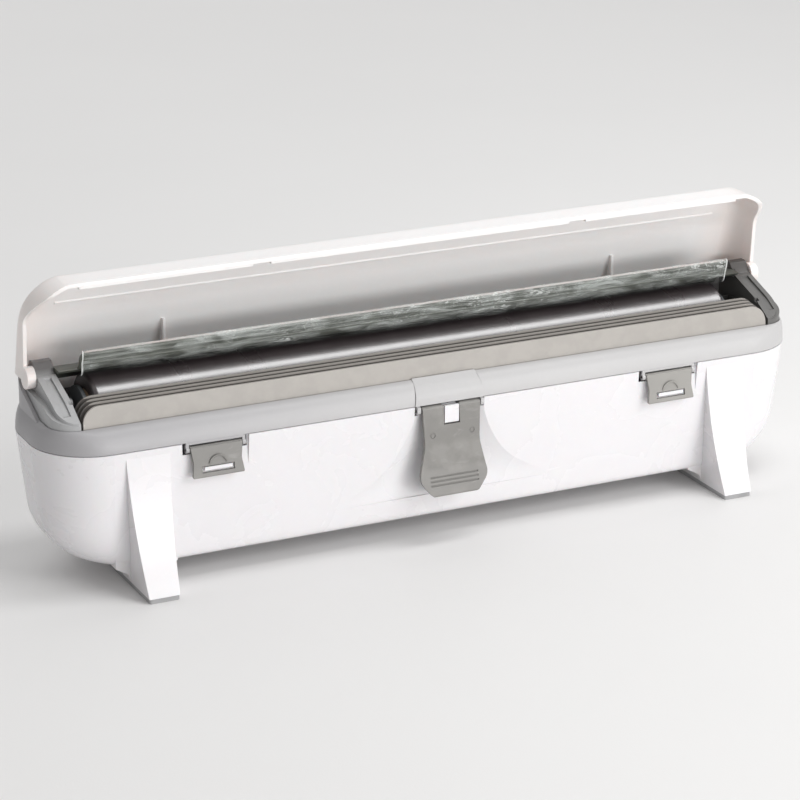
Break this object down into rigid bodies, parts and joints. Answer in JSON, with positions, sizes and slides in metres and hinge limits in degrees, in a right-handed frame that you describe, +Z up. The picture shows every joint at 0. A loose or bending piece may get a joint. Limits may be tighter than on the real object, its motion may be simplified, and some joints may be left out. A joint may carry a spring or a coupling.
{
  "type": "cling film dispenser",
  "caption": "Bench-top cling film dispenser with a hinged lid, a finned press guard over a serrated blade, a film roll in a tub, a front latch and side clips.",
  "frame": {"origin": "on the surface the feet stand on, below the middle of the tub's length and depth", "axes": "+X along the length to the right, +Y to the rear, +Z up"},
  "size_m": [0.534, 0.144, 0.1914],
  "materials": {
    "tub_plastic": "smooth white moulding",
    "foot_rubber": "matt grey",
    "rim_plastic": "satin pale grey moulding",
    "latch_plastic": "satin mid grey moulding",
    "pin_steel": "plain bright",
    "arm_plastic": "satin blue grey moulding",
    "lid_plastic": "slightly milky white moulding",
    "guard_plastic": "warm grey moulding",
    "blade_steel": "ground teeth",
    "holder_aluminium": "mill finish",
    "guide_plastic": "ridged grey green strip",
    "core_card": "spiral wound card",
    "film_wound": "tightly wound glossy film",
    "bung_plastic": "satin moulding",
    "film_clear": "thin clear crinkled film"
  },
  "bodies": {
    "root": {"base_tub": "tub_plastic", "foot_pad_left": "foot_rubber", "foot_pad_right": "foot_rubber", "rim_frame": "rim_plastic", "rim_bridge": "rim_plastic", "latch_pin": "pin_steel", "clip_pin_left": "pin_steel", "clip_pin_right": "pin_steel", "end_arm_left": "arm_plastic", "end_arm_right": "arm_plastic", "arm_screws": "pin_steel", "lid_pin_left": "arm_plastic", "lid_pin_right": "arm_plastic", "guard_springs": "pin_steel", "blade": "blade_steel", "blade_holder": "holder_aluminium", "rear_guide": "guide_plastic", "film_web": "film_clear"},
    "lid": {"lid": "lid_plastic"},
    "latch": {"front_latch": "latch_plastic"},
    "clip_left": {"side_clip_left": "latch_plastic"},
    "clip_right": {"side_clip_right": "latch_plastic"},
    "guard": {"film_guard": "guard_plastic"},
    "roll": {"film_core": "core_card", "film_roll": "film_wound", "core_bung_left": "bung_plastic", "core_bung_right": "bung_plastic"}
  },
  "joints": [
    {"name": "lid_hinge", "type": "hinge", "parent": "root", "child": "lid", "pos_m": [0, 0.01, 0.128], "axis": [1, 0, 0], "range_deg": [0, 90]},
    {"name": "latch_hinge", "type": "hinge", "parent": "root", "child": "latch", "pos_m": [0, -0.0501, 0.0892], "axis": [-1, 0, 0], "range_deg": [0, 35]},
    {"name": "clip_left_hinge", "type": "hinge", "parent": "root", "child": "clip_left", "pos_m": [-0.16075, -0.0494, 0.0876], "axis": [-1, 0, 0], "range_deg": [0, 60]},
    {"name": "clip_right_hinge", "type": "hinge", "parent": "root", "child": "clip_right", "pos_m": [0.16075, -0.0494, 0.0876], "axis": [-1, 0, 0], "range_deg": [0, 60]},
    {"name": "guard_press", "type": "slide", "parent": "root", "child": "guard", "axis": [0, 0, -1], "range_m": [0, 0.005], "stiffness_N_per_m": 600, "springref_m": -0.006, "deforming": ["guard_springs"]},
    {"name": "roll_spin", "type": "hinge", "parent": "root", "child": "roll", "pos_m": [0, 0.005, 0.101], "axis": [1, 0, 0], "continuous": true}
  ]
}
